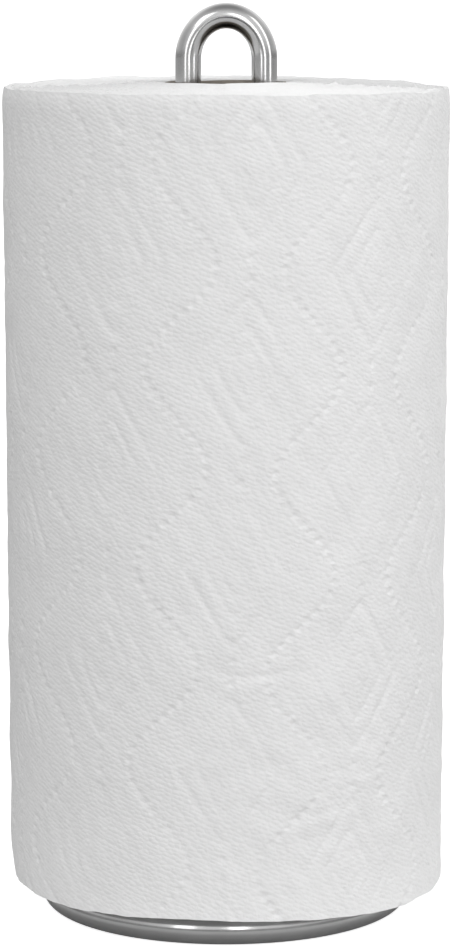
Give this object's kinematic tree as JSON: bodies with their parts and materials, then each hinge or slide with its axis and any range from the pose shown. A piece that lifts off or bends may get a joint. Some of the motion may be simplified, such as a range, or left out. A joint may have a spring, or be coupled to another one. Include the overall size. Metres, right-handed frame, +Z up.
{
  "type": "paper towel holder",
  "caption": "Countertop paper towel holder: a thick steel rod base ring with an upright loop handle, carrying a full roll of embossed paper towel.",
  "frame": {"origin": "centre of the base ring, on the surface that it stands on", "axes": "+Z up, along the roll; the loop's two legs stand side by side along X; the front is -Y"},
  "size_m": [0.1546, 0.1546, 0.3196],
  "materials": {
    "satin_nickel": "satin",
    "weld_metal": "satin",
    "kraft_card": "matte",
    "towel_paper": "matte"
  },
  "bodies": {
    "stand": {"base_ring": "satin_nickel", "upright_loop": "satin_nickel", "weld_bead_left_front": "weld_metal", "weld_bead_left_back": "weld_metal", "weld_bead_right_front": "weld_metal", "weld_bead_right_back": "weld_metal"},
    "core": {"card_core": "kraft_card"},
    "paper": {"wound_paper": "towel_paper", "tail_sheet": "towel_paper", "next_sheet": "towel_paper"}
  },
  "joints": [
    {"name": "roll_lift", "type": "slide", "parent": "stand", "child": "core", "axis": [0, 0, 1], "range_m": [0, 0.325]},
    {"name": "roll_spin", "type": "hinge", "parent": "core", "child": "paper", "pos_m": [0, 0, 0.15], "axis": [0, 0, 1], "continuous": true}
  ]
}
